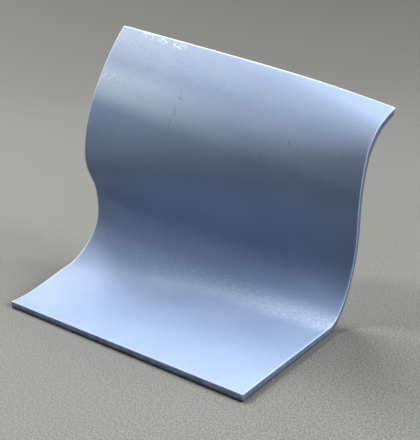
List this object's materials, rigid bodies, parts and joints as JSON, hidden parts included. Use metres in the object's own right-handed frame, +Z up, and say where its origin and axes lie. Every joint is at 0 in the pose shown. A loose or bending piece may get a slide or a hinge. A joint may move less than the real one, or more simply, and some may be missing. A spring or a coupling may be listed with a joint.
{
  "type": "thermal pad sheet",
  "caption": "Thin soft rectangular gap-filler sheet, bent in an S: flat foot, turned-up wall and leaning top flap.",
  "frame": {"origin": "under the middle of the flat foot, on the floor, 11 mm behind the front edge", "axes": "+X along the front edge to the right, +Y back towards the bent-up wall, +Z up from the floor"},
  "size_m": [0.0699, 0.0347, 0.0565],
  "materials": {
    "pad_silicone": "satin"
  },
  "bodies": {
    "root": {"pad_sheet": "pad_silicone"}
  },
  "joints": []
}
